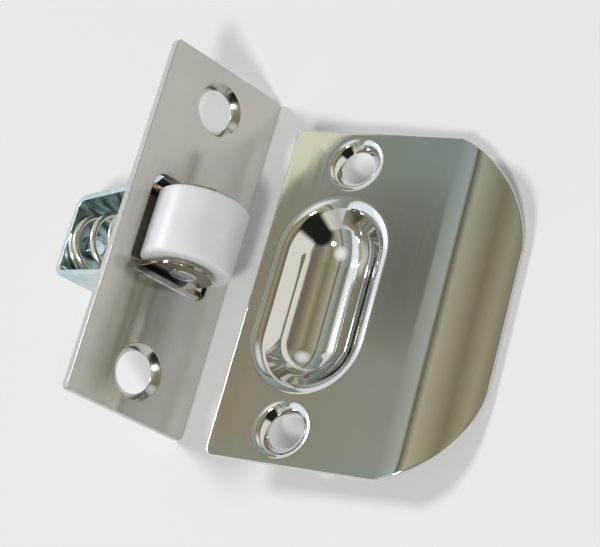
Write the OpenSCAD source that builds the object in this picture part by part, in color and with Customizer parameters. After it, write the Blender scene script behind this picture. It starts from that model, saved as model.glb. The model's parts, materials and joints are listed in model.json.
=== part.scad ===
// Roller catch: a sprung roller behind a faceplate, and the lipped strike that it snaps into.
// The roller unit lies on a long edge of its plate and the heel of its case, the strike beside it
// on its dish and lip. Floor at Z = 0, plate length along Y, X from the roller unit to the strike.

/* [Faceplate] */
// Length of the faceplate
plate_l = 57.2; // [50:0.1:70]
// Width of the faceplate
plate_w = 22.2; // [21:0.1:30]
// Sheet thickness of the faceplate
plate_t = 1.3; // [1.2:0.1:2]
// Radius of the plate's corners
plate_corner_r = 0.8; // [0.3:0.1:3]
// Distance between the two screw holes
screw_spacing = 43.6; // [40:0.1:46]
// Diameter of the screw holes
screw_hole_d = 6.4; // [4:0.1:7]
// Diameter of the countersinks at the face
sink_d = 8.5; // [7.5:0.1:8.6]
// Radius of the slot's corners
slot_corner_r = 2; // [0.5:0.1:4]

/* [Roller] */
// Diameter of the roller
roller_d = 14; // [10:0.1:15]
// Length of the roller
roller_l = 10.8; // [8:0.1:12]
// Rounding of the roller's rims
roller_rim_r = 0.5; // [0.2:0.1:1.5]
// Height of the roller's axis above the face
axle_h = 3.6; // [2:0.1:5]
// Diameter of the axle pin
pin_d = 3; // [2:0.1:5]
// Diameter of the pin's riveted heads
pin_head_d = 4.2; // [4:0.1:7]
// Height of the pin's riveted heads
pin_head_h = 0.3; // [0.1:0.05:0.3]

/* [Yoke] */
// Sheet thickness of the yoke
yoke_t = 0.9; // [0.6:0.1:1.2]
// Width of the ears
ear_w = 9.2; // [8:0.1:12]
// How far each stop wing reaches past the slot's edge
wing_lap = 1; // [0.5:0.1:1.5]
// Inside radius of the yoke's bends
yoke_bend_r = 1; // [0.4:0.1:1.5]
// Height of the boss that holds the spring's front end
yoke_boss_h = 1; // [0.5:0.1:2]

/* [Case] */
// Width of the strap
case_w = 10.4; // [9:0.1:14]
// Sheet thickness of the strap
case_t = 1; // [0.8:0.1:1.5]
// Depth from the face to the outside of the rear wall
case_depth = 23; // [20:0.1:30]
// How much the case narrows from the plate to the rear wall, both sides together
case_taper = 2.4; // [1.8:0.1:2.8]
// Inside radius of the strap's bends
case_bend_r = 1.2; // [0.5:0.1:2]
// Length of the feet on the back of the plate
foot_l = 4; // [2:0.1:6]
// Outside diameter of the drawn hole in the rear wall
drawn_d = 4; // [3.5:0.1:5]
// Diameter of the drawn hole
drawn_hole_d = 2.4; // [1.5:0.1:3]
// Height of the drawn hole's collar
drawn_h = 1.2; // [0.5:0.1:2]

/* [Spring] */
// Outside diameter of the coil
coil_d = 10.8; // [9:0.1:10.8]
// Diameter of the wire
wire_d = 1; // [0.7:0.05:1.1]
// Open turns between the two closed end turns
open_turns = 3; // [2:0.25:4]

/* [Strike] */
// Length of the strike
strike_l = 52; // [50:0.1:60]
// Width of the flat part, from the back edge to the lip
strike_w = 27.1; // [25:0.1:32]
// Sheet thickness of the strike
strike_t = 1.2; // [0.8:0.1:1.4]
// Radius of the two back corners
strike_corner_r = 1; // [0.5:0.1:3]
// Radius of the lip's bend, at the top face
lip_bend_r = 21; // [15:0.5:30]
// Reach of the lip past the flat part
lip_reach = 11.8; // [8:0.1:13]
// Length of the lip's straight front edge
lip_front_l = 19; // [15:0.1:25]
// Distance from the back edge to the line of holes and dish
dish_x = 11.1; // [10.6:0.1:14]
// Length of the dish at its rim
dish_l = 31.4; // [29:0.1:31.8]
// Width of the dish at its rim
dish_w = 18.2; // [16.5:0.1:18.6]
// Depth of the dish
dish_depth = 6; // [4.5:0.1:6.5]
// Slope of the dish's walls
dish_angle = 55; // [48:1:60]
// Radius of the dish's rolled rim
dish_rim_r = 2.4; // [1.6:0.1:2.6]
// Distance between the strike's screw holes
strike_spacing = 41.6; // [41.2:0.1:42.4]
// Diameter of the strike's screw holes
strike_hole_d = 5; // [4:0.1:5.6]
// Diameter of the dimples round them
dimple_d = 9; // [8.4:0.1:9.2]
// Slope of the dimples' sides
dimple_angle = 50; // [40:1:55]
// Radius of the dimples' rolled rims
dimple_rim_r = 1.5; // [1.45:0.05:1.8]

/* [Arrangement] */
// Gap along X between the faceplate's lower edge and the strike's back edge
strike_gap = 10.8; // [4:0.1:30]
// Shift of the strike along Y
strike_shift = -6; // [-15:0.1:15]

/* [Hidden] */
$fn = 96;
bend_steps = 8;
arc_steps = 12;
coil_steps = 28;
wire_sides = 10;

// Clearances
slot_side_gap = 0.5;
slot_end_gap = 1.4;
roller_bore_gap = 0.05;
roller_end_gap = 0.15;
roller_base_gap = 0.7;
yoke_case_gap = 0.7;
stop_gap = 0.1;
spring_boss_gap = 0.3;
spring_seat_gap = 0.05;
cut = 0.5;

// Roller unit, in its own frame: x across the plate, y along it, z out of the face
ear_in = roller_l / 2 + roller_end_gap;
ear_out = ear_in + yoke_t;
slot_w = roller_d + 2 * slot_side_gap;
slot_l = 2 * (ear_out + slot_end_gap);
plate_back = -plate_t;
base_front = axle_h - roller_d / 2 - roller_base_gap;
base_back = base_front - yoke_t;
stop_z = plate_back - stop_gap;
wing_w = slot_w + 2 * wing_lap;
rear_out = -case_depth;
rear_in = rear_out + case_t;
flange_front = ear_out + yoke_case_gap + case_t / 2;
flange_rear = flange_front - case_taper / 2;
foot_z = plate_back - case_t / 2;
coil_r = (coil_d - wire_d) / 2;
spring_low = rear_in + spring_seat_gap + wire_d / 2;
spring_high = base_back - spring_seat_gap - wire_d / 2;
spring_turns = open_turns + 2;
spring_boss_d = coil_d - 2 * wire_d - 2 * spring_boss_gap;

// Lean of the face from upright when the plate's edge and the case's heel are on the floor
lean_angle = atan((plate_w - case_w) / 2 / (case_depth - plate_t));
latch_lift = plate_w / 2 * cos(lean_angle) + plate_t * sin(lean_angle);

// Strike, in its own frame: x from the back edge, y along it, z up from the top face
lip_angle = asin(lip_reach / lip_bend_r);
lip_top = [strike_w + lip_reach, -lip_bend_r * (1 - cos(lip_angle))];
lip_low = lip_top - strike_t * [sin(lip_angle), cos(lip_angle)];
lip_front = lip_front_l / 2;
lip_dy = strike_l / 2 - lip_front;
lip_corner_r = (lip_reach * lip_reach + lip_dy * lip_dy) / (2 * lip_reach);
bowl_r = (dish_w / 2 - dish_depth / tan(dish_angle)) / tan(dish_angle / 2) - dish_rim_r;
bowl_z = bowl_r - dish_depth;
dish_run = dish_l - dish_w;
sheet_lap = 0.6;

// Tilt of the strike when its dish and lip are on the floor
heel = lip_low - [dish_x, bowl_z];
tilt_angle = atan2(heel[1], heel[0]) + asin((bowl_r + strike_t) / norm(heel));
strike_lift = lip_low[0] * sin(tilt_angle) - lip_low[1] * cos(tilt_angle);

// Both halves centred over the origin
strike_from_latch = plate_w / 2 * sin(lean_angle) + strike_gap;
reach_back = -case_w / 2 * sin(lean_angle) - case_depth * cos(lean_angle);
reach_front = strike_from_latch + lip_top[0] * cos(tilt_angle) + lip_top[1] * sin(tilt_angle);
reach_low = min(-plate_l / 2, strike_shift - strike_l / 2);
reach_high = max(plate_l / 2, strike_shift + strike_l / 2);
latch_x = -(reach_back + reach_front) / 2;
latch_y = -(reach_low + reach_high) / 2;

function arc(c, r, from, to, n) =
    [for (i = [0 : n]) let (a = from + (to - from) * i / n) c + r * [cos(a), sin(a)]];
function unit(v) = v / norm(v);
function side(v) = [-v[1], v[0]];
function turned(v, a) = [v[0] * cos(a) - v[1] * sin(a), v[0] * sin(a) + v[1] * cos(a)];
function reversed(list) = [for (i = [len(list) - 1 : -1 : 0]) list[i]];

// Points and directions along the middle of a folded strip, with every corner bent to radius r
function stations(path, r) = [
    [path[0], unit(path[1] - path[0])],
    for (i = [1 : len(path) - 2])
        let (
            a = unit(path[i] - path[i - 1]),
            b = unit(path[i + 1] - path[i]),
            turn = atan2(cross(a, b), a * b),
            centre = path[i] - a * r * tan(abs(turn) / 2) + side(a) * sign(turn) * r
        )
        for (k = [0 : bend_steps])
            let (d = turned(a, turn * k / bend_steps))
            [centre - side(d) * sign(turn) * r, d],
    [path[len(path) - 1], unit(path[len(path) - 1] - path[len(path) - 2])]
];

// Outline of a folded strip of thickness t
function strip(path, r, t) =
    let (s = stations(path, r + t / 2))
    concat([for (p = s) p[0] + side(p[1]) * t / 2], reversed([for (p = s) p[0] - side(p[1]) * t / 2]));

// Stands a drawing of y and z up across x
module across(w) rotate([90, 0, 90]) linear_extrude(w, center = true) children();

// Stands a drawing of x and z up along y
module along(l) rotate([90, 0, 0]) linear_extrude(l, center = true) children();

module rounded(w, l, r) {
    square([w - 2 * r, l], center = true);
    square([w, l - 2 * r], center = true);
    for (x = [-1, 1], y = [-1, 1])
        translate([x * (w / 2 - r), y * (l / 2 - r)]) circle(r);
}

module latch_place()
    translate([latch_x, latch_y, latch_lift]) rotate([0, 90 - lean_angle, 0]) children();

module strike_place()
    translate([latch_x + strike_from_latch, latch_y + strike_shift, strike_lift])
        rotate([0, tilt_angle, 0]) children();

module faceplate() {
    sink_depth = (sink_d - screw_hole_d) / 2;
    color([0.66, 0.66, 0.62]) latch_place() difference() {
        translate([0, 0, plate_back]) linear_extrude(plate_t) difference() {
            rounded(plate_w, plate_l, plate_corner_r);
            rounded(slot_w, slot_l, slot_corner_r);
        }
        for (y = [-1, 1]) translate([0, y * screw_spacing / 2, 0]) {
            translate([0, 0, plate_back - cut]) cylinder(d = screw_hole_d, h = plate_t + 2 * cut);
            translate([0, 0, -sink_depth])
                cylinder(d1 = screw_hole_d, d2 = sink_d + 2 * cut, h = sink_depth + cut);
        }
    }
}

module case() {
    rear_mid = rear_out + case_t / 2;
    path = [
        [-flange_front - foot_l, foot_z], [-flange_front, foot_z], [-flange_rear, rear_mid],
        [flange_rear, rear_mid], [flange_front, foot_z], [flange_front + foot_l, foot_z]
    ];
    color([0.55, 0.66, 0.70]) latch_place() difference() {
        union() {
            across(case_w) polygon(strip(path, case_bend_r, case_t));
            translate([0, 0, rear_in - case_t / 2]) cylinder(d = drawn_d, h = drawn_h + case_t / 2);
        }
        translate([0, 0, rear_out - cut]) cylinder(d = drawn_hole_d, h = case_t + drawn_h + 2 * cut);
    }
}

module yoke() {
    ear_mid = ear_in + yoke_t / 2;
    base_mid = base_front - yoke_t / 2;
    nose_z = axle_h + ear_w / 2;
    path = [[-ear_mid, nose_z], [-ear_mid, base_mid], [ear_mid, base_mid], [ear_mid, nose_z]];
    color([0.78, 0.76, 0.72]) latch_place() difference() {
        union() {
            intersection() {
                across(wing_w) polygon(strip(path, yoke_bend_r, yoke_t));
                along(2 * ear_out + 2 * cut) {
                    translate([-wing_w / 2, base_back]) square([wing_w, stop_z - base_back]);
                    translate([-ear_w / 2, base_back]) square([ear_w, axle_h - base_back]);
                    translate([0, axle_h]) circle(d = ear_w);
                }
            }
            translate([0, 0, base_back - yoke_boss_h])
                cylinder(d = spring_boss_d, h = yoke_boss_h + yoke_t / 2);
        }
        translate([0, 0, axle_h]) rotate([90, 0, 0])
            cylinder(d = pin_d, h = 2 * ear_out + 2 * cut, center = true);
    }
}

module axle_pin() {
    color([0.80, 0.80, 0.78]) latch_place() translate([0, 0, axle_h]) rotate([90, 0, 0]) {
        cylinder(d = pin_d, h = 2 * ear_out, center = true);
        for (end = [0, 180]) rotate([end, 0, 0]) translate([0, 0, ear_out])
            cylinder(d1 = pin_head_d, d2 = pin_head_d - 2 * pin_head_h, h = pin_head_h);
    }
}

module roller() {
    bore_r = pin_d / 2 + roller_bore_gap;
    rim = [roller_d / 2 - roller_rim_r, roller_l / 2 - roller_rim_r];
    section = concat(
        [[bore_r, -roller_l / 2]],
        arc([rim[0], -rim[1]], roller_rim_r, -90, 0, bend_steps),
        arc(rim, roller_rim_r, 0, 90, bend_steps),
        [[bore_r, roller_l / 2]]
    );
    color([0.86, 0.87, 0.88]) latch_place() translate([0, 0, axle_h]) rotate([90, 0, 0])
        rotate_extrude() polygon(section);
}

module spring() {
    rings = spring_turns * coil_steps;
    open_pitch = (spring_high - spring_low - 2 * wire_d) / open_turns;
    function rise(turn) =
        min(turn, 1) * wire_d
        + min(max(turn - 1, 0), open_turns) * open_pitch
        + max(turn - 1 - open_turns, 0) * wire_d;
    points = [
        for (i = [0 : rings], k = [0 : wire_sides - 1])
            let (
                turn = i / coil_steps,
                a = 360 * turn + 180,
                b = 360 * k / wire_sides,
                r = coil_r + wire_d / 2 * cos(b)
            )
            [r * cos(a), r * sin(a), spring_low + rise(turn) + wire_d / 2 * sin(b)]
    ];
    faces = [
        [for (k = [0 : wire_sides - 1]) k],
        for (i = [0 : rings - 1], k = [0 : wire_sides - 1])
            let (a = i * wire_sides, n = (k + 1) % wire_sides)
            [a + k, a + wire_sides + k, a + wire_sides + n, a + n],
        [for (k = [wire_sides - 1 : -1 : 0]) rings * wire_sides + k]
    ];
    color([0.74, 0.76, 0.74]) latch_place() polyhedron(points, faces);
}

// Half section of the dish: flat sheet, rolled rim, straight wall, round bottom
function dish_section() =
    let (rim = [dish_w / 2, -dish_rim_r], bowl = [0, bowl_z])
    concat(
        [[dish_w / 2 + sheet_lap, 0]],
        arc(rim, dish_rim_r, 90, 90 + dish_angle, arc_steps),
        arc(bowl, bowl_r, -90 + dish_angle, -90, arc_steps),
        arc(bowl, bowl_r + strike_t, -90, -90 + dish_angle, arc_steps),
        arc(rim, dish_rim_r - strike_t, 90 + dish_angle, 90, arc_steps),
        [[dish_w / 2 + sheet_lap, -strike_t]]
    );

// Half section of a screw hole's dimple: flat sheet, rolled rim, straight slope down to the hole
function dimple_section() =
    let (
        rim = [dimple_d / 2, -dimple_rim_r],
        down = [-cos(dimple_angle), -sin(dimple_angle)],
        top = rim + dimple_rim_r * [-sin(dimple_angle), cos(dimple_angle)],
        under = top - strike_t * [-sin(dimple_angle), cos(dimple_angle)],
        slide = (under[0] - strike_hole_d / 2 + cut) / cos(dimple_angle)
    )
    concat(
        [[dimple_d / 2 + sheet_lap, 0]],
        arc(rim, dimple_rim_r, 90, 90 + dimple_angle, arc_steps),
        [top + slide * down, under + slide * down],
        arc(rim, dimple_rim_r - strike_t, 90 + dimple_angle, 90, arc_steps),
        [[dimple_d / 2 + sheet_lap, -strike_t]]
    );

module stadium(w, l) {
    square([w, l - w], center = true);
    for (y = [-1, 1]) translate([0, y * (l - w) / 2]) circle(d = w);
}

module strike_blank() {
    corner = strike_corner_r;
    translate([0, -strike_l / 2 + corner]) square([strike_w, strike_l - 2 * corner]);
    translate([corner, -strike_l / 2]) square([strike_w - corner, strike_l]);
    for (y = [-1, 1]) translate([corner, y * (strike_l / 2 - corner)]) circle(corner);
}

module lip_plan() {
    translate([strike_w, -lip_front]) square([lip_reach, lip_front_l]);
    for (y = [0, 1]) mirror([0, y]) intersection() {
        translate([lip_top[0] - lip_corner_r, lip_front]) circle(lip_corner_r);
        translate([strike_w, lip_front]) square([lip_reach, lip_dy]);
    }
}

module lip() {
    wedge_r = 2 * lip_bend_r;
    intersection() {
        translate([strike_w, 0, -lip_bend_r]) along(strike_l) intersection() {
            difference() {
                circle(lip_bend_r, $fn = 2 * $fn);
                circle(lip_bend_r - strike_t, $fn = 2 * $fn);
            }
            polygon([[0, 0], [0, wedge_r], wedge_r * [sin(lip_angle), cos(lip_angle)]]);
        }
        translate([0, 0, -lip_bend_r]) linear_extrude(2 * lip_bend_r) lip_plan();
    }
}

module dish() {
    along(dish_run) {
        polygon(dish_section());
        mirror([1, 0]) polygon(dish_section());
    }
    for (end = [0, 180]) rotate([0, 0, end]) translate([0, dish_run / 2, 0])
        rotate_extrude(angle = 180) polygon(dish_section());
}

module strike() {
    color([0.52, 0.54, 0.50]) strike_place() difference() {
        union() {
            translate([0, 0, -strike_t]) linear_extrude(strike_t) difference() {
                strike_blank();
                translate([dish_x, 0]) stadium(dish_w, dish_l);
                for (y = [-1, 1]) translate([dish_x, y * strike_spacing / 2]) circle(d = dimple_d);
            }
            lip();
            translate([dish_x, 0, 0]) dish();
            for (y = [-1, 1]) translate([dish_x, y * strike_spacing / 2, 0])
                rotate_extrude() polygon(dimple_section());
        }
        for (y = [-1, 1]) translate([dish_x, y * strike_spacing / 2, -dish_depth])
            cylinder(d = strike_hole_d, h = dish_depth + cut);
    }
}

faceplate();
case();
yoke();
axle_pin();
roller();
spring();
strike();
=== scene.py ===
import json
import math

import bmesh
import bpy
from mathutils import Matrix, Vector


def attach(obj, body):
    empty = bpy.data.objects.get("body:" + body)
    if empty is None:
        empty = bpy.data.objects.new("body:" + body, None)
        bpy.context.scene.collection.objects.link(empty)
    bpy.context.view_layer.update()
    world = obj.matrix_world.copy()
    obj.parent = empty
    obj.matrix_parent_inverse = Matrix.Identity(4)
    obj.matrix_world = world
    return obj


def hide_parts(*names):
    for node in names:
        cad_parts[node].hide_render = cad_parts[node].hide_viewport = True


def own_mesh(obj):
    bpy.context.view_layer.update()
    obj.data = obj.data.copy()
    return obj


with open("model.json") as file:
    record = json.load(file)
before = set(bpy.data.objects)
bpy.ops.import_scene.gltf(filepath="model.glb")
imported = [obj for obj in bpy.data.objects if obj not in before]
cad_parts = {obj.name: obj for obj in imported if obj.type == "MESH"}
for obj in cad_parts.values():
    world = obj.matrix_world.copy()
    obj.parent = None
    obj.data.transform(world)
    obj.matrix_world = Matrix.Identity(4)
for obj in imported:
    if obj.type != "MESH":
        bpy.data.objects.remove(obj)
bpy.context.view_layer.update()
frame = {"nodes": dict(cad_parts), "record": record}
mm = 0.001
print("frame loaded:", sorted(frame["nodes"]))


# Selecting and shaping, as by hand

def letGo():
    if bpy.context.object and bpy.context.object.mode != "OBJECT":
        bpy.ops.object.mode_set(mode="OBJECT")
    bpy.ops.object.select_all(action="DESELECT")


def take(piece):
    letGo()
    piece.select_set(True)
    bpy.context.view_layer.objects.active = piece


def openMesh(piece, mode="EDGE"):
    take(piece)
    bpy.ops.object.mode_set(mode="EDIT")
    bpy.ops.mesh.select_mode(type=mode)
    bpy.ops.mesh.select_all(action="DESELECT")


def pick(piece, kind, test):  # selects what passes the test in the open mesh
    mesh = bmesh.from_edit_mesh(piece.data)
    for element in getattr(mesh, kind):
        if test(element):
            element.select_set(True)
    bmesh.update_edit_mesh(piece.data)


def everything():
    bpy.ops.mesh.select_all(action="SELECT")


def mergeAndFaceOut(distance=1e-7):
    everything()
    bpy.ops.mesh.remove_doubles(threshold=distance)
    bpy.ops.mesh.normals_make_consistent(inside=False)


def finishWith(piece, kind, **settings):
    take(piece)
    modifier = piece.modifiers.new(kind.lower(), kind)
    for name, value in settings.items():
        setattr(modifier, name, value)
    bpy.ops.object.modifier_apply(modifier=modifier.name)


def cutWith(piece, tool, operation="DIFFERENCE"):
    finishWith(piece, "BOOLEAN", operation=operation, object=tool, solver="EXACT")
    bpy.data.objects.remove(tool, do_unlink=True)


def breakEdges(piece, width, segments=3, angle=28):  # small rounding on every sharp edge, flats stay flat
    finishWith(piece, "BEVEL", width=width * mm, segments=segments, limit_method="ANGLE",
               angle_limit=math.radians(angle), use_clamp_overlap=False, miter_outer="MITER_ARC")
    take(piece)
    bpy.ops.object.shade_smooth_by_angle(angle=math.radians(50))
    finishWith(piece, "WEIGHTED_NORMAL", mode="FACE_AREA", weight=100, keep_sharp=True)


def box(name, low, high):  # low and high corners in millimetres
    letGo()
    middle = [(a + b) / 2 * mm for a, b in zip(low, high)]
    bpy.ops.mesh.primitive_cube_add(size=1, location=middle)
    piece = bpy.context.object
    piece.name = name
    piece.scale = [(b - a) * mm for a, b in zip(low, high)]
    bpy.ops.object.transform_apply(location=True, rotation=True, scale=True)
    return piece


def rod(name, radius, low, high, centre=(0, 0), axis="Z", topRadius=None, sides=96):
    letGo()
    middle, tall = (low + high) / 2, high - low
    if axis == "Z":
        place, turn = (centre[0], centre[1], middle), (0, 0, 0)
    else:  # lies along Y, centre is (x, z)
        place, turn = (centre[0], middle, centre[1]), (-math.pi / 2, 0, 0)
    bpy.ops.mesh.primitive_cone_add(
        vertices=sides, radius1=radius * mm, radius2=(topRadius or radius) * mm, depth=tall * mm,
        location=[a * mm for a in place], rotation=turn)
    piece = bpy.context.object
    piece.name = name
    bpy.ops.object.transform_apply(location=True, rotation=True, scale=True)
    return piece


def roundUprights(piece, radius, segments):  # rounds the edges that run along Z
    openMesh(piece)

    def upright(edge):
        run = edge.verts[1].co - edge.verts[0].co
        return abs(run.z) > 0.99 * run.length

    pick(piece, "edges", upright)
    bpy.ops.mesh.bevel(offset=radius * mm, segments=segments, affect="EDGES", clamp_overlap=True)
    letGo()


def trace(name, points, closed=False):  # a line drawn point by point, by extruding one vertex
    letGo()
    bpy.ops.mesh.primitive_plane_add(size=mm, location=[a * mm for a in points[0]])
    piece = bpy.context.object
    piece.name = name
    bpy.ops.object.transform_apply(location=True, rotation=True, scale=True)
    openMesh(piece, "VERT")
    everything()
    bpy.ops.mesh.merge(type="CENTER")
    for here, there in zip(points, points[1:]):
        step = [(b - a) * mm for a, b in zip(here, there)]
        bpy.ops.mesh.extrude_vertices_move(TRANSFORM_OT_translate={"value": step})
    if closed:
        ends = [Vector([a * mm for a in p]) for p in (points[0], points[-1])]
        bpy.ops.mesh.select_all(action="DESELECT")
        pick(piece, "verts", lambda v: min((v.co - end).length for end in ends) < 1e-8)
        bpy.ops.mesh.edge_face_add()
    return piece


def pullAlong(step):  # extrudes all that is open and selected, in millimetres
    bpy.ops.mesh.extrude_region_move(TRANSFORM_OT_translate={"value": [a * mm for a in step]})


def arc(centre, radius, start, end, steps):
    return [(centre[0] + radius * math.cos(math.radians(start + (end - start) * i / steps)),
             centre[1] + radius * math.sin(math.radians(start + (end - start) * i / steps)))
            for i in range(steps + 1)]


def foldLine(corners, radius, steps=10):  # a line through the corners, each bent to a radius
    line = [Vector(corners[0])]
    for before, corner, after in zip(corners, corners[1:], corners[2:]):
        a = (Vector(corner) - Vector(before)).normalized()
        b = (Vector(after) - Vector(corner)).normalized()
        turn = math.atan2(a.x * b.y - a.y * b.x, a.dot(b))
        side = Vector((-a.y, a.x)) * math.copysign(1, turn)
        centre = Vector(corner) - a * radius * math.tan(abs(turn) / 2) + side * radius
        for k in range(steps + 1):
            swing = Matrix.Rotation(turn * k / steps, 2)
            line.append(centre - (swing @ side) * radius)
    return line + [Vector(corners[-1])]


def place(piece, seat):  # moves a finished shape to where its half lies
    take(piece)
    piece.matrix_world = seat
    bpy.ops.object.transform_apply(location=True, rotation=True, scale=True)


def seatOf(mountName, spot):  # the frame of one half, from a mount whose place in that half is known
    mount = next(m for m in frame["record"]["mounts"] if m["name"] == mountName)
    out = Vector(mount["axis"]).normalized()
    along = Vector((0, 1, 0))
    across = along.cross(out).normalized()
    turn = Matrix((across, along, out)).transposed()
    origin = Vector(mount["pos_m"]) - turn @ (Vector(spot) * mm)
    return Matrix.Translation(origin) @ turn.to_4x4()


def handOver(piece, body, node, finish):
    piece.data.materials.clear()
    piece.data.materials.append(finish)
    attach(piece, body)
    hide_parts(node)
    print("piece", piece.name, len(piece.data.polygons), "faces")


# Finishes

def newFinish(name):
    finish = bpy.data.materials.new(name)
    finish.use_nodes = True
    nodes, links = finish.node_tree.nodes, finish.node_tree.links
    shader = nodes["Principled BSDF"]
    where = nodes.new("ShaderNodeTexCoord").outputs["Object"]
    return finish, nodes, links, shader, where


def grain(nodes, links, where, scale, detail=3, stretch=(1, 1, 1), rough=0.55):
    mapping = nodes.new("ShaderNodeMapping")
    mapping.inputs["Scale"].default_value = stretch
    noise = nodes.new("ShaderNodeTexNoise")
    noise.inputs["Scale"].default_value = scale
    noise.inputs["Detail"].default_value = detail
    noise.inputs["Roughness"].default_value = rough
    links.new(where, mapping.inputs["Vector"])
    links.new(mapping.outputs["Vector"], noise.inputs["Vector"])
    return noise.outputs["Fac"]


def spread(nodes, links, source, low, high, start=0.35, end=0.65):
    ranger = nodes.new("ShaderNodeMapRange")
    for name, value in (("From Min", start), ("From Max", end), ("To Min", low), ("To Max", high)):
        ranger.inputs[name].default_value = value
    links.new(source, ranger.inputs["Value"])
    return ranger.outputs["Result"]


def tint(nodes, links, source, stops):
    ramp = nodes.new("ShaderNodeValToRGB")
    while len(ramp.color_ramp.elements) < len(stops):
        ramp.color_ramp.elements.new(0.5)
    for element, (position, colour) in zip(ramp.color_ramp.elements, stops):
        element.position = position
        element.color = (*colour, 1)
    links.new(source, ramp.inputs["Fac"])
    return ramp.outputs["Color"]


def relief(nodes, links, shader, source, height, strength):
    bump = nodes.new("ShaderNodeBump")
    bump.inputs["Distance"].default_value = height * mm
    bump.inputs["Strength"].default_value = strength
    links.new(source, bump.inputs["Height"])
    links.new(bump.outputs["Normal"], shader.inputs["Normal"])


def chromeFinish(name, pale, dull, roughLow, roughHigh):
    finish, nodes, links, shader, where = newFinish(name)
    shader.inputs["Metallic"].default_value = 1
    lines = grain(nodes, links, where, 900, 4, (1, 0.03, 1))  # polishing lines along the length
    cloud = grain(nodes, links, where, 120, 2)
    links.new(tint(nodes, links, cloud, [(0.3, dull), (0.7, pale)]), shader.inputs["Base Color"])
    links.new(spread(nodes, links, lines, roughLow, roughHigh), shader.inputs["Roughness"])
    relief(nodes, links, shader, lines, 0.0006, 0.25)
    return finish


def zincFinish(name):
    finish, nodes, links, shader, where = newFinish(name)
    shader.inputs["Metallic"].default_value = 1
    cloud = grain(nodes, links, where, 260, 3)
    fine = grain(nodes, links, where, 2600, 4)
    stops = [(0.3, (0.34, 0.47, 0.50)), (0.5, (0.45, 0.56, 0.58)), (0.7, (0.52, 0.60, 0.59))]
    links.new(tint(nodes, links, cloud, stops), shader.inputs["Base Color"])
    links.new(spread(nodes, links, fine, 0.12, 0.24), shader.inputs["Roughness"])
    relief(nodes, links, shader, fine, 0.002, 0.2)
    return finish


def brightFinish(name, pale, dull, roughLow, roughHigh, scale):
    finish, nodes, links, shader, where = newFinish(name)
    shader.inputs["Metallic"].default_value = 1
    fine = grain(nodes, links, where, scale, 4)
    links.new(tint(nodes, links, fine, [(0.3, dull), (0.7, pale)]), shader.inputs["Base Color"])
    links.new(spread(nodes, links, fine, roughLow, roughHigh), shader.inputs["Roughness"])
    relief(nodes, links, shader, fine, 0.0015, 0.2)
    return finish


def nylonFinish(name):
    finish, nodes, links, shader, where = newFinish(name)
    milk = grain(nodes, links, where, 160, 3)
    skin = grain(nodes, links, where, 3200, 3)
    links.new(tint(nodes, links, milk, [(0.3, (0.83, 0.85, 0.89)), (0.7, (0.88, 0.90, 0.93))]),
              shader.inputs["Base Color"])
    links.new(spread(nodes, links, skin, 0.30, 0.42), shader.inputs["Roughness"])
    shader.inputs["Subsurface Weight"].default_value = 0.8
    shader.inputs["Subsurface Radius"].default_value = (1.0, 0.95, 0.9)
    shader.inputs["Subsurface Scale"].default_value = 0.004
    relief(nodes, links, shader, skin, 0.002, 0.15)
    return finish


plateChrome = chromeFinish("plate chrome", (0.53, 0.52, 0.48), (0.49, 0.48, 0.44), 0.14, 0.20)
strikeChrome = chromeFinish("strike chrome", (0.66, 0.66, 0.64), (0.63, 0.63, 0.61), 0.03, 0.07)
strapZinc = zincFinish("strap zinc")
yokeNickel = brightFinish("yoke nickel", (0.38, 0.34, 0.28), (0.32, 0.28, 0.23), 0.06, 0.14, 1500)
pinSteel = brightFinish("pin steel", (0.70, 0.70, 0.68), (0.60, 0.60, 0.58), 0.10, 0.20, 1800)
coilWire = brightFinish("coil wire", (0.74, 0.74, 0.68), (0.64, 0.64, 0.58), 0.12, 0.22, 2200)
rollerNylon = nylonFinish("roller nylon")
print("finishes ready")


# Faceplate: rounded corners, slot for the roller, two countersunk holes

faceplate = {"length": 57.2, "width": 22.2, "thick": 1.3, "cornerRadius": 0.8,
             "slotWidth": 15.0, "slotLength": 15.7, "slotRadius": 2.0,
             "holeSpacing": 43.6, "hole": 6.4, "sink": 8.5, "edge": 0.12}
latchSeat = seatOf("latch_screws", (0, 0, -faceplate["thick"]))


def makeFaceplate():
    f = faceplate
    wide, long, thick = f["width"] / 2, f["length"] / 2, f["thick"]
    piece = box("faceplate_chrome", (-wide, -long, -thick), (wide, long, 0))
    roundUprights(piece, f["cornerRadius"], 6)
    slot = box("slot tool", (-f["slotWidth"] / 2, -f["slotLength"] / 2, -2 * thick),
               (f["slotWidth"] / 2, f["slotLength"] / 2, thick))
    roundUprights(slot, f["slotRadius"], 12)
    cutWith(piece, slot)
    for y in (-f["holeSpacing"] / 2, f["holeSpacing"] / 2):
        cutWith(piece, rod("hole tool", f["hole"] / 2, -2 * thick, thick, (0, y)))
        deep = (f["sink"] - f["hole"]) / 2
        cutWith(piece, rod("sink tool", f["hole"] / 2, -deep, thick, (0, y), topRadius=f["sink"] / 2 + thick))
    place(piece, latchSeat)
    breakEdges(piece, f["edge"])
    handOver(piece, "fixed", "faceplate", plateChrome)


makeFaceplate()


# Case: one strap folded round the spring, feet on the back of the plate, a drawn hole in the rear wall

strap = {"width": 10.4, "thick": 1.0, "depth": 23.0, "flangeFront": 7.65, "flangeRear": 6.45,
         "bend": 1.2, "foot": 4.0, "collar": 4.0, "hole": 2.4, "collarHeight": 1.2, "edge": 0.16}


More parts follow.
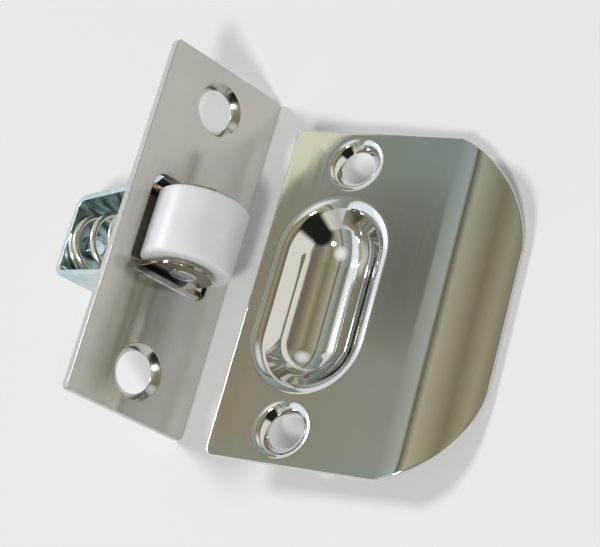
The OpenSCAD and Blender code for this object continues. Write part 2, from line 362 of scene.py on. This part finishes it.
def makeCase():
    s = strap
    t = s["thick"]
    footZ, rearZ = -faceplate["thick"] - t / 2, -s["depth"] + t / 2
    corners = [(-s["flangeFront"] - s["foot"], footZ), (-s["flangeFront"], footZ), (-s["flangeRear"], rearZ),
               (s["flangeRear"], rearZ), (s["flangeFront"], footZ), (s["flangeFront"] + s["foot"], footZ)]
    line = foldLine(corners, s["bend"] + t / 2)
    piece = trace("case_zinc", [(-s["width"] / 2, p.x, p.y) for p in line])
    everything()
    pullAlong((s["width"], 0, 0))
    mergeAndFaceOut()
    letGo()
    finishWith(piece, "SOLIDIFY", thickness=t * mm, offset=0, use_even_offset=True)
    rearIn = -s["depth"] + t
    collar = rod("collar", s["collar"] / 2, rearIn - t / 2, rearIn + s["collarHeight"], sides=64)
    cutWith(piece, collar, "UNION")
    cutWith(piece, rod("hole tool", s["hole"] / 2, rearIn - 2 * t, rearIn + 2 * t, sides=64))
    place(piece, latchSeat)
    breakEdges(piece, s["edge"])
    handOver(piece, "fixed", "case", strapZinc)


makeCase()


# Yoke: a folded strip with two round-nosed ears, stop wings and a boss for the spring

yoke = {"thick": 0.9, "earIn": 5.55, "earWidth": 9.2, "wingWidth": 17.0, "baseFront": -4.1, "stop": -1.4,
        "axle": 3.6, "bend": 1.0, "bore": 3.0, "boss": 8.2, "bossHeight": 1.0, "edge": 0.14}


def makeYoke():
    y = yoke
    t = y["thick"]
    earMid, baseMid, nose = y["earIn"] + t / 2, y["baseFront"] - t / 2, y["axle"] + y["earWidth"] / 2
    line = foldLine([(-earMid, nose), (-earMid, baseMid), (earMid, baseMid), (earMid, nose)], y["bend"] + t / 2)
    piece = trace("yoke_nickel", [(-y["wingWidth"] / 2, p.x, p.y) for p in line])
    everything()
    pullAlong((y["wingWidth"], 0, 0))
    mergeAndFaceOut()
    letGo()
    finishWith(piece, "SOLIDIFY", thickness=t * mm, offset=0, use_even_offset=True)
    low, wing, ear = y["baseFront"] - 2 * t, y["wingWidth"] / 2 + t, y["earWidth"] / 2
    outline = [(-wing, low), (-wing, y["stop"]), (-ear, y["stop"])]
    outline += arc((0, y["axle"]), ear, 180, 0, 48) + [(ear, y["stop"]), (wing, y["stop"]), (wing, low)]
    blank = trace("ear tool", [(x, -nose, z) for x, z in outline], closed=True)
    everything()
    bpy.ops.mesh.edge_face_add()
    pullAlong((0, 2 * nose, 0))
    mergeAndFaceOut()
    letGo()
    cutWith(piece, blank, "INTERSECT")
    baseBack = y["baseFront"] - t
    cutWith(piece, rod("boss", y["boss"] / 2, baseBack - y["bossHeight"], baseBack + t / 2, sides=64), "UNION")
    cutWith(piece, rod("bore tool", y["bore"] / 2, -nose, nose, (0, y["axle"]), axis="Y", sides=64))
    place(piece, latchSeat)
    breakEdges(piece, y["edge"])
    handOver(piece, "carriage", "yoke", yokeNickel)


makeYoke()


# Axle pin and roller: profiles spun round the axle

pin = {"radius": 1.5, "half": 6.45, "head": 2.1, "dome": 0.3}
roller = {"radius": 7.0, "half": 5.4, "bore": 1.55, "rim": 0.5}


def spinRound(name, profile, steps=128):  # profile is (radius, y), spun round the Y axis at the axle's height
    piece = trace(name, [(r, y, yoke["axle"]) for r, y in profile])
    everything()
    bpy.ops.mesh.spin(steps=steps, angle=2 * math.pi, center=(0, 0, yoke["axle"] * mm), axis=(0, 1, 0))
    mergeAndFaceOut()
    letGo()
    return piece


def makePin():
    p = pin
    dome = [(p["head"] * math.cos(math.radians(a)), p["half"] + p["dome"] * math.sin(math.radians(a)))
            for a in range(0, 91, 10)]
    half = [(p["radius"], 0), (p["radius"], p["half"])] + dome
    profile = [(r, -y) for r, y in reversed(half)] + half[1:]
    piece = spinRound("axle_pin_steel", profile, 64)
    take(piece)
    bpy.ops.object.shade_smooth_by_angle(angle=math.radians(40))
    place(piece, latchSeat)
    handOver(piece, "carriage", "axle_pin", pinSteel)


def makeRoller():
    r = roller
    rim = arc((r["radius"] - r["rim"], r["half"] - r["rim"]), r["rim"], 0, 90, 8)
    half = rim + [(r["bore"] + 0.2, r["half"]), (r["bore"], r["half"] - 0.2)]
    profile = [(x, -y) for x, y in reversed(half)] + half
    profile.append(profile[0])
    piece = spinRound("roller_nylon", profile)
    take(piece)
    bpy.ops.object.shade_smooth_by_angle(angle=math.radians(35))
    place(piece, latchSeat)
    finishWith(piece, "WEIGHTED_NORMAL", mode="FACE_AREA", weight=100, keep_sharp=True)
    handOver(piece, "roller", "roller", rollerNylon)


makePin()
makeRoller()


# Spring: a round section screwed up the coil, then the pitch eased so that both ends close

coil = {"radius": 4.9, "wire": 1.0, "low": -21.45, "high": -5.55, "openTurns": 3, "steps": 64, "sides": 16,
        "seat": -22.0, "squashTo": 0.647}


def coilRise(turn):
    pitch = (coil["high"] - coil["low"] - 2 * coil["wire"]) / coil["openTurns"]
    openPart = min(max(turn - 1, 0), coil["openTurns"])
    return (min(turn, 1) + max(turn - 1 - coil["openTurns"], 0)) * coil["wire"] + openPart * pitch


def makeSpring():
    c = coil
    turns = c["openTurns"] + 2
    evenPitch = (c["high"] - c["low"]) / turns
    letGo()
    bpy.ops.mesh.primitive_circle_add(vertices=c["sides"], radius=c["wire"] / 2 * mm, fill_type="NGON",
                                      location=(-c["radius"] * mm, 0, c["low"] * mm), rotation=(math.pi / 2, 0, 0))
    piece = bpy.context.object
    piece.name = "spring_coil"
    bpy.ops.object.transform_apply(location=True, rotation=True, scale=True)
    openMesh(piece)
    everything()
    bpy.ops.mesh.delete(type="ONLY_FACE")
    letGo()
    finishWith(piece, "SCREW", axis="Z", angle=2 * math.pi * turns, screw_offset=evenPitch * turns * mm,
               steps=c["steps"] * turns, render_steps=c["steps"] * turns, use_merge_vertices=False)
    for v in piece.data.vertices:
        x, y, z = (a / mm for a in v.co)
        share = (math.atan2(y, x) / (2 * math.pi) + 0.5) % 1
        count = round((z - c["low"]) / evenPitch - share)
        turn = min(max(count + share, 0), turns)
        v.co.z += (coilRise(turn) - evenPitch * turn) * mm
    openMesh(piece)
    bpy.ops.mesh.select_non_manifold()
    bpy.ops.mesh.edge_face_add()
    mergeAndFaceOut()
    letGo()
    take(piece)
    bpy.ops.object.shade_smooth_by_angle(angle=math.radians(50))
    place(piece, latchSeat)
    handOver(piece, "fixed", "spring", coilWire)
    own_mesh(piece)


makeSpring()


# Strike: one sheet with a pressed dish, two dimpled holes and a lip that curls down

strike = {"length": 52.0, "flat": 27.1, "thick": 1.2, "cornerRadius": 1.0, "lipBend": 21.0, "lipReach": 11.8,
          "lipFront": 19.0, "dishX": 11.1, "dishLength": 31.4, "dishWidth": 18.2, "dishDepth": 6.0,
          "dishSlope": 55, "dishRim": 2.4, "spacing": 41.6, "hole": 5.0, "dimple": 9.0, "dimpleSlope": 50,
          "dimpleRim": 1.5, "hold": 0.15, "edge": 0.22}
strikeSeat = seatOf("strike_screws", (strike["dishX"], 0, -2.2))


def dishProfile():  # (radius, z) from the flat sheet down to the bottom
    s = strike
    half, slope = s["dishWidth"] / 2, s["dishSlope"]
    fall = math.radians(slope)
    bottom = (half - s["dishDepth"] / math.tan(fall)) / math.tan(fall / 2) - s["dishRim"]
    return ([(half + s["hold"], 0)] + arc((half, -s["dishRim"]), s["dishRim"], 90, 90 + slope, 16)
            + arc((0, bottom - s["dishDepth"]), bottom, slope - 90, -90, 24))


def dimpleProfile():
    s = strike
    half, slope = s["dimple"] / 2, math.radians(s["dimpleSlope"])
    roll = arc((half, -s["dimpleRim"]), s["dimpleRim"], 90, 90 + s["dimpleSlope"], 12)
    run = roll[-1][0] - s["hole"] / 2
    return [(half + s["hold"], 0)] + roll + [(s["hole"] / 2, roll[-1][1] - run * math.tan(slope))]


def makeStrike():
    s = strike
    half, front = s["length"] / 2, s["lipFront"] / 2
    run = s["dishLength"] - s["dishWidth"]

    # the dish: one end spun, one side pulled, the other end spun, the other side pulled
    line = [(s["dishX"] - r, run / 2, z) for r, z in dishProfile()]
    piece = trace("strike_chrome", line)
    everything()
    for end in (1, -1):
        middle = (s["dishX"] * mm, end * run / 2 * mm, 0)
        bpy.ops.mesh.spin(steps=48, angle=math.pi, center=middle, axis=(0, 0, 1))
        pullAlong((0, -end * run, 0))
    everything()
    bpy.ops.mesh.remove_doubles(threshold=1e-6)
    letGo()

    # the dimples: one spun, the second copied from it
    dimple = trace("dimple", [(s["dishX"] - r, s["spacing"] / 2, z) for r, z in dimpleProfile()])
    everything()
    middle = (s["dishX"] * mm, s["spacing"] / 2 * mm, 0)
    bpy.ops.mesh.spin(steps=72, angle=2 * math.pi, center=middle, axis=(0, 0, 1))
    everything()
    bpy.ops.mesh.remove_doubles(threshold=1e-6)
    everything()
    bpy.ops.mesh.duplicate_move(TRANSFORM_OT_translate={"value": (0, -s["spacing"] * mm, 0)})
    letGo()

    # the lip: the front edge pulled out in narrow rows down the curl, each row shorter than the last
    rows, across, joined = 28, 24, 4  # the last rows are joined, wide enough for the rounded edge
    side = half - front
    corner = (s["lipReach"] ** 2 + side ** 2) / (2 * s["lipReach"])
    sweep = math.asin(side / corner)
    lip = trace("lip", [(s["flat"], -half + 2 * half * i / across, 0) for i in range(across + 1)])
    everything()
    reach, drop, wide = 0, 0, half
    for k in (*range(1, rows - joined + 1), rows):
        swing = sweep * (1 - k / rows)
        newReach = s["lipReach"] - corner * (1 - math.cos(swing))
        newDrop = math.sqrt(s["lipBend"] ** 2 - newReach ** 2) - s["lipBend"]
        newWide = front + corner * math.sin(swing)
        pullAlong((newReach - reach, 0, newDrop - drop))
        bpy.ops.transform.resize(value=(1, newWide / wide, 1), center_override=(0, 0, 0))
        reach, drop, wide = newReach, newDrop, newWide
    letGo()

    # the flat sheet round them, filled between its outline and the open rims
    r = s["cornerRadius"]
    back = arc((r, -half + r), r, 270, 180, 8) + arc((r, half - r), r, 180, 90, 8)
    sheet = trace("sheet", [(s["flat"], -half, 0)] + [(x, y, 0) for x, y in back] + [(s["flat"], half, 0)])
    letGo()
    take(piece)
    for part in (dimple, lip, sheet):
        part.select_set(True)
    bpy.ops.object.join()
    openMesh(piece)
    everything()
    bpy.ops.mesh.remove_doubles(threshold=1e-6)
    bpy.ops.mesh.select_all(action="DESELECT")

    def openInFlat(edge):  # the sheet's outline, and the open rims that lie level with it
        level = max(abs(v.co.z) for v in edge.verts) < 1e-8
        return not edge.link_faces or (len(edge.link_faces) == 1 and level)

    pick(piece, "edges", openInFlat)
    bpy.ops.mesh.fill(use_beauty=True)
    mergeAndFaceOut(1e-6)
    letGo()
    if sum(p.normal.z * p.area for p in piece.data.polygons) < 0:
        openMesh(piece, "FACE")
        everything()
        bpy.ops.mesh.flip_normals()
        letGo()
    finishWith(piece, "SOLIDIFY", thickness=s["thick"] * mm, offset=-1, use_even_offset=True)
    place(piece, strikeSeat)
    breakEdges(piece, s["edge"], angle=40)
    handOver(piece, "fixed", "strike", strikeChrome)


makeStrike()


# Floor, light and camera

studio = {"floor": (0.92, 0.92, 0.92), "floorSize": 6.0, "floorZ": -0.00003, "floorOwn": 0.06, "floorMirrored": 0.5,
          "lamps": {"side lamp": ((-1.29, 0.35, 1.49), 0.5, 16, (0.97, 0.98, 1.0)),
                    "front lamp": ((0.47, -0.75, 1.07), 0.2, 6.8, (1.0, 0.98, 0.95))},
          "eye": (0.15263, -0.0833, 0.2091), "right": (0.829, 0.261, -0.495), "up": (-0.046, 0.914, 0.404),
          "lens": 108, "sensor": 36, "nearest": 0.01}
# The room that the metal mirrors: pale walls low down, a darker ceiling in bands from left to right,
# its light falling off to the far side, and a few patches with their directions, edge and core angles.
# Matt surfaces get an even fill instead
room = {"wall": [(-0.60, (1.05, 1.07, 1.10)), (-0.15, (0.62, 0.62, 0.60)), (0.35, (0.98, 0.97, 0.88))],
        "wallTop": 0.29, "ceilingFrom": 0.36,
        "ceiling": [(-0.60, (1.10, 1.10, 1.10)), (-0.50, (1.00, 1.00, 1.00)), (-0.45, (0.35, 0.30, 0.20)),
                    (-0.35, (0.35, 0.37, 0.30)), (-0.10, (0.50, 0.52, 0.45)), (-0.06, (0.15, 0.15, 0.10)),
                    (0.03, (0.55, 0.50, 0.35)), (0.40, (0.30, 0.25, 0.15)), (0.60, (0.45, 0.40, 0.25)),
                    (0.80, (0.25, 0.20, 0.15))],
        "cast": [(0.20, (1.00, 1.10, 1.20)), (0.23, (1.05, 1.05, 1.05)), (0.40, (0.85, 0.95, 1.05))],
        "patches": {"ceiling lamp": ((0.0, -0.22, 0.975), 20, 5, (1.15, 1.13, 1.1)),
                    "far window": ((0.28, 0.68, 0.68), 19, 2, (1.0, 1.0, 1.0)),
                    "near wall": ((-0.47, 0.44, 0.766), 6.9, 6.6, (0.95, 0.93, 0.74)),
                    "beam": ((-0.345, 0.33, 0.88), 3.2, 0.5, (0.19, 0.21, 0.18)),
                    "dark doorway": ((0.66, -0.68, 0.30), 30, 20, (0.02, 0.02, 0.015))},
        "fill": (0.32, 0.32, 0.32)}


def blendColours(nodes, links, factor, first, second, kind="MIX"):  # a colour or a socket on either side
    mix = nodes.new("ShaderNodeMix")
    mix.data_type, mix.blend_type = "RGBA", kind
    for name, value in (("Factor", factor), ("A", first), ("B", second)):
        socket = next(i for i in mix.inputs if i.name == name and i.enabled)
        if isinstance(value, bpy.types.NodeSocket):
            links.new(value, socket)
        else:
            socket.default_value = value
    return next(o for o in mix.outputs if o.enabled)


def seenRay(nodes, links, straight=1, mirrored=1):  # shares where the camera looks, straight or in metal
    path = nodes.new("ShaderNodeLightPath")
    seen = spread(nodes, links, path.outputs["Is Camera Ray"], 0, straight, 0, 1)
    for ray in ("Is Glossy Ray", "Is Transmission Ray"):
        either = nodes.new("ShaderNodeMath")
        either.operation = "MAXIMUM"
        links.new(seen, either.inputs[0])
        links.new(spread(nodes, links, path.outputs[ray], 0, mirrored, 0, 1), either.inputs[1])
        seen = either.outputs["Value"]
    return seen


def lightRoom():
    world = bpy.data.worlds.new("room")
    bpy.context.scene.world = world
    world.use_nodes = True
    nodes, links = world.node_tree.nodes, world.node_tree.links
    direction = nodes.new("ShaderNodeTexCoord").outputs["Generated"]
    split = nodes.new("ShaderNodeSeparateXYZ")
    links.new(direction, split.inputs["Vector"])

    def banded(axis, stops):
        low, high = stops[0][0], stops[-1][0]
        place = spread(nodes, links, split.outputs[axis], 0, 1, low, high)
        return tint(nodes, links, place, [((at - low) / (high - low), colour) for at, colour in stops])

    ceiling = blendColours(nodes, links, 1, banded("X", room["ceiling"]), banded("Y", room["cast"]), "MULTIPLY")
    upward = spread(nodes, links, split.outputs["Z"], 0, 1, room["wallTop"], room["ceilingFrom"])
    around = blendColours(nodes, links, upward, banded("X", room["wall"]), ceiling)
    for middle, edge, core, colour in room["patches"].values():
        nearness = nodes.new("ShaderNodeVectorMath")
        nearness.operation = "DOT_PRODUCT"
        links.new(direction, nearness.inputs[0])
        nearness.inputs[1].default_value = Vector(middle).normalized()
        inside = spread(nodes, links, nearness.outputs["Value"], 0, 1,
                        math.cos(math.radians(edge)), math.cos(math.radians(core)))
        around = blendColours(nodes, links, inside, around, (*colour, 1))
    around = blendColours(nodes, links, seenRay(nodes, links), (*room["fill"], 1), around)
    links.new(around, nodes["Background"].inputs["Color"])


def makeStudio():
    s = studio
    letGo()
    bpy.ops.mesh.primitive_plane_add(size=s["floorSize"], location=(0, 0, s["floorZ"]))
    floor = bpy.context.object
    floor.name = "floor"
    paper, nodes, links, shader, _ = newFinish("floor paper")
    shader.inputs["Base Color"].default_value = (*s["floor"], 1)
    shader.inputs["Roughness"].default_value = 0.9
    shader.inputs["Specular IOR Level"].default_value = 0.1
    # a share of the paper is its own white to the camera, and a larger one in metal
    white, both = nodes.new("ShaderNodeEmission"), nodes.new("ShaderNodeMixShader")
    white.inputs["Color"].default_value = (*s["floor"], 1)
    links.new(seenRay(nodes, links, s["floorOwn"], s["floorMirrored"]), both.inputs["Fac"])
    links.new(shader.outputs["BSDF"], both.inputs[1])
    links.new(white.outputs["Emission"], both.inputs[2])
    links.new(both.outputs["Shader"], nodes["Material Output"].inputs["Surface"])
    floor.data.materials.append(paper)

    for name, (spot, size, power, colour) in s["lamps"].items():
        letGo()
        bpy.ops.object.light_add(type="AREA", location=spot)
        lamp = bpy.context.object
        lamp.name = name
        lamp.data.shape, lamp.data.size = "DISK", size
        lamp.data.energy, lamp.data.color = power, colour
        lamp.rotation_euler = (-Vector(spot)).to_track_quat("-Z", "Y").to_euler()
    lightRoom()

    letGo()
    bpy.ops.object.camera_add(location=s["eye"])
    camera = bpy.context.object
    right, up = Vector(s["right"]).normalized(), Vector(s["up"]).normalized()
    back = right.cross(up).normalized()
    up = back.cross(right)
    camera.matrix_world = Matrix.Translation(s["eye"]) @ Matrix((right, up, back)).transposed().to_4x4()
    camera.data.sensor_fit, camera.data.sensor_width = "HORIZONTAL", s["sensor"]
    camera.data.lens = s["lens"]
    camera.data.clip_start = s["nearest"]
    bpy.context.scene.camera = camera
    bpy.context.scene.view_settings.view_transform = "Standard"
    print("studio ready")


makeStudio()
